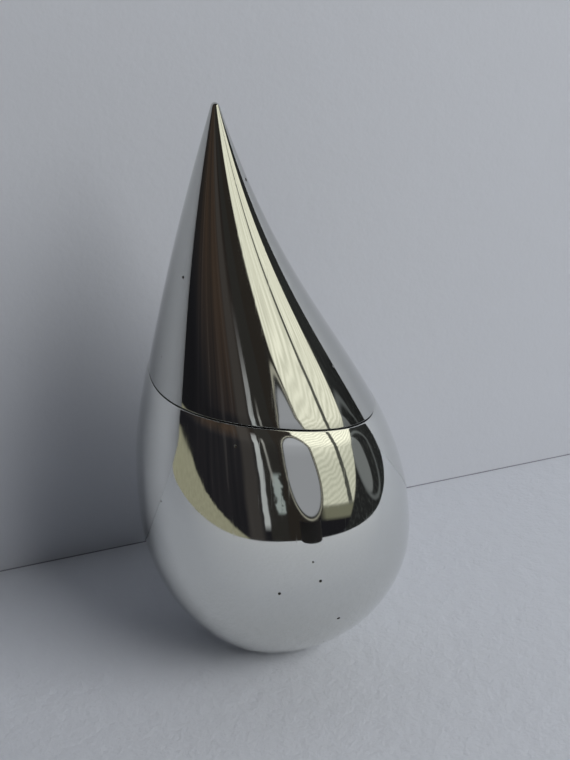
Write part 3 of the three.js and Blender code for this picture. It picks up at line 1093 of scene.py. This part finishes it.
class Room:
    """The wires that the room's layers share: where a point is, and the noises that bend it."""

    def __init__(self, finish):
        self.finish = finish
        place = finish.add("ShaderNodeUVMap", {"uv_map": "own"})
        drawn_out = finish.add(
            "ShaderNodeVectorMath", {"operation": "MULTIPLY"}, {0: place, 1: (0.16, 0.02, 1)}
        )
        self.turn, self.rise, _ = finish.parts(place)
        self.sway = finish.noise(0.07, 3, place)
        self.folds = finish.noise(1, 4, drawn_out)
        self.flecks = finish.noise(0.55, 3, place)
        self.bent = self.turn + 3.5 * (self.sway - 0.5)
        self.leaning = self.turn - WINDOW_LEAN * self.rise
        self.high = self.rise.above(*HIGH_UP)

    def from_ellipse(self, middle_turn, middle_rise, half_turn, half_rise):
        """How far out a point is from an ellipse's middle: 1 on its edge."""
        across = (self.turn - middle_turn) / half_turn
        over = (self.rise - middle_rise) / half_rise
        return (across * across + over * over).root()


# Each of these gives layers, from the back to the front: how much of it shows, and its colour.


def curtains(room):
    """Brown folds with a few pale streaks, and a paler strip at their right edge."""
    cloth = room.bent.between(*CURTAIN_TURNS)
    brown = room.finish.blend(room.high, (0.020, 0.019, 0.021), (0.050, 0.034, 0.024))
    return [
        (cloth * room.folds.above(0.5, 0.28), brown),
        (0.6 * room.folds.above(0.64, 0.1) * cloth, (0.05, 0.047, 0.046)),
        (0.7 * room.bent.between(*CURTAIN_EDGE_TURNS), (0.055, 0.050, 0.046)),
    ]


def doorway(room):
    """A bright upright gap, and a pale ragged patch and a glint on the dark boards beside it."""
    ragged = room.turn + 6 * (room.flecks - 0.5)
    tilted = room.bent + GLINT_LEAN * room.rise
    daylight = room.finish.blend(room.high, (0.40, 0.42, 0.42), (0.20, 0.20, 0.20))
    return [
        (room.bent.between(*DOOR_TURNS) * room.rise.between(*DOOR_RISES), daylight),
        (room.bent.between(*BOARD_TURNS), (0.024, 0.023, 0.021)),
        (ragged.between(*PATCH_TURNS) * room.rise.between(*PATCH_RISES), (0.30, 0.34, 0.33)),
        (0.8 * tilted.between(*GLINT_TURNS) * room.rise.between(*GLINT_RISES), (0.30, 0.30, 0.28)),
        (room.bent.between(*PILLAR_TURNS), (0.022, 0.019, 0.016)),
    ]


def blind(room):
    """Cream cloth with a fine wavy weave, brighter higher up: the sine of a slanted, swayed line."""
    ripple = (room.rise * 3.4 - room.turn * 0.9 + 22 * room.sway).sine()
    weave = 0.35 + 0.5 * room.flecks + 0.3 * ripple
    lower = room.finish.blend(weave, (0.42, 0.43, 0.34), (0.68, 0.68, 0.55))
    upper = room.finish.blend(weave, (0.52, 0.52, 0.41), (0.98, 0.97, 0.80))
    return room.finish.blend(room.rise.above(10, 8), lower, upper)


def window(room):
    """A window with a leaning right edge, a sill below it and one dark glazing bar."""
    pane = room.bent.above(*WINDOW_LEFT) * (1 - room.leaning.above(*WINDOW_RIGHT))
    pane = pane * room.rise.between(*WINDOW_RISES)
    bar = (room.turn - BAR_LEAN * room.rise + 2 * (room.flecks - 0.5)).between(*BAR_TURNS)
    return [
        (pane, blind(room)),
        (room.rise.between(*SILL_RISES) * room.bent.between(*SILL_TURNS), (0.17, 0.17, 0.12)),
        (pane * bar, (0.075, 0.078, 0.066)),
    ]


def oval(room):
    """A pale oval with a dark, a cream and a dark line round it, each a larger ellipse behind."""
    away = room.from_ellipse(*OVAL)
    return [
        (1 - away.above(1.1, 0.04), (0.022, 0.020, 0.018)),
        (1 - away.above(1.04, 0.02), (0.34, 0.33, 0.27)),
        (1 - away.above(1.0, 0.02), (0.03, 0.03, 0.028)),
        (1 - away.above(0.94, 0.03), (0.30, 0.31, 0.33)),
    ]


def beyond_window(room):
    """The dark right end of the room, with a grey chair back and an arched line."""
    end = room.leaning.above(*WINDOW_RIGHT)
    dark = room.finish.blend(
        room.flecks.above(0.6, 0.2), (0.018, 0.019, 0.019), (0.045, 0.048, 0.046)
    )
    arch = room.from_ellipse(*ARCH).between(0.92, 1.05, 0.08)
    return [
        (end, dark),
        ((1 - room.from_ellipse(*CHAIR).above(1, 0.1)) * end, (0.17, 0.18, 0.18)),
        (0.8 * arch * end, (0.13, 0.14, 0.14)),
    ]


def table_edge(room):
    """The olive table beyond the sheet on the left, under a sloping line and a level one."""
    sloping = room.rise + TABLE_SLOPE * room.turn + 3 * room.flecks
    top = (1 - room.rise.above(*TABLE_TOP)) * (1 - sloping.above(*TABLE_EDGE))
    return [(top, room.finish.blend(room.flecks, (0.20, 0.20, 0.14), (0.36, 0.35, 0.25)))]


def room_glow():
    """What the steel sees: a dark room with a blind-covered window on the right, in layers."""
    finish = Finish("room_glow")
    room = Room(finish)
    glow = finish.blend(room.high, WALL_DARK, WALL_DARK_HIGH)
    for layers in (curtains, doorway, window, oval, beyond_window, table_edge):
        for share, colour in layers(room):
            glow = finish.blend(share, glow, colour)
    brightness = 1.08 + 0.4 * room.rise.above(12, 6)
    finish.add_output(
        finish.add("ShaderNodeEmission", {}, {"Color": finish.brighten(glow, brightness)})
    )
    return finish.material


def only_mirrored(thing):
    """The steel mirrors it, but it is out of every view and casts no light or shadow."""
    thing.visible_camera = False
    thing.visible_diffuse = False
    thing.visible_shadow = False


def add_room():
    """A curved sheet all round, at a constant distance: a point of it for each turn and rise."""
    def place(turn, rise):
        azimuth = np.radians(turn) + CAMERA_AZIMUTH
        height = np.radians(rise)
        level = np.cos(height)
        ahead = np.stack((np.sin(azimuth) * level, -np.cos(azimuth) * level, np.sin(height)), axis=-1)
        return ROOM_DISTANCE * ahead + AIM_HEIGHT * UP

    mesh = grid_patch("room", place, ROOM_TURNS, ROOM_RISES, ROOM_COLUMNS, ROOM_ROWS)
    only_mirrored(add_object("room", mesh, room_glow()))


def add_dark_post():
    """A short round dark post at the sheet's front edge, which the bowl mirrors low down."""
    middle = POST_DISTANCE * np.array(heading(CAMERA_AZIMUTH + POST_TURN))

    def place(turn, height):
        around = np.stack((np.cos(turn), np.sin(turn), 0 * turn), axis=-1)
        return middle + POST_RADIUS * around + height[..., None] * UP

    mesh = grid_patch("post", place, (0, 2 * pi), (0, POST_HEIGHT), POST_COLUMNS)
    only_mirrored(add_object("post", mesh, in_shade("post_shade", (0.02, 0.017, 0.015))))


# ---- Lights ----

WINDOW_AZIMUTH = CAMERA_AZIMUTH + radians(60)
WINDOW_ELEVATION = radians(32)
WINDOW_DISTANCE = 1.3
WINDOW_SIZE = (1.0, 0.75)
WINDOW_POWER = 11.6
WINDOW_COLOUR = (1.0, 1.0, 0.98)

CEILING_AZIMUTH = CAMERA_AZIMUTH + radians(80)
CEILING_ELEVATION = radians(62)
CEILING_DISTANCE = 1.2
CEILING_SIZE = (1.2, 1.2)
CEILING_POWER = 1.5
CEILING_COLOUR = (0.93, 0.96, 1.0)

DIM_SURROUNDINGS = (0.028, 0.028, 0.028)
SEEN_SURROUNDINGS = (0.42, 0.44, 0.47)


def add_area_light(name, azimuth, elevation, distance, size, power, colour):
    """A soft light that faces the middle of the drop, and that the steel doesn't mirror."""
    lamp = bpy.data.lights.new(name, "AREA")
    lamp.shape = "RECTANGLE"
    lamp.size, lamp.size_y = size
    lamp.energy = power
    lamp.color = colour
    light = bpy.data.objects.new(name, lamp)
    bpy.context.scene.collection.objects.link(light)
    away = heading(azimuth, elevation)
    light.location = distance * away + Vector((0, 0, AIM_HEIGHT))
    light.rotation_euler = away.to_track_quat("Z", "Y").to_euler()
    light.visible_glossy = False
    light.visible_camera = False


def add_lights():
    add_area_light("window_light", WINDOW_AZIMUTH, WINDOW_ELEVATION, WINDOW_DISTANCE,
                   WINDOW_SIZE, WINDOW_POWER, WINDOW_COLOUR)
    add_area_light("ceiling_light", CEILING_AZIMUTH, CEILING_ELEVATION, CEILING_DISTANCE,
                   CEILING_SIZE, CEILING_POWER, CEILING_COLOUR)


def add_surroundings():
    """An even dim glow from all round, with a pale grey seen past the ends of the floor and wall."""
    world = bpy.data.worlds.new("world")
    bpy.context.scene.world = world
    world.use_nodes = True
    tree = world.node_tree
    mix = tree.nodes.new("ShaderNodeMix")
    mix.data_type = "RGBA"
    mix.inputs[MIX_LOW].default_value = (*DIM_SURROUNDINGS, 1)
    mix.inputs[MIX_HIGH].default_value = (*SEEN_SURROUNDINGS, 1)
    seen = tree.nodes.new("ShaderNodeLightPath")
    tree.links.new(seen.outputs["Is Camera Ray"], mix.inputs[MIX_SHARE])
    tree.links.new(mix.outputs[MIX_RESULT], tree.nodes["Background"].inputs["Color"])


bpy.context.scene.view_settings.view_transform = "Standard"
add_camera()
lid_skin()
lid_point()
lid_collar()
collar_gasket()
bowl_skin()
mouth_land()
locating_pin()
floor_disc()
foot_plate()
foot_pad()
dress_node("foot_screw", FASTENER)
dress_node("ballast_nut", FASTENER)
dress_node("ballast_washer", FASTENER)
dress_node("ballast_weight", IRON)
add_papers()
add_room()
add_dark_post()
add_lights()
add_surroundings()
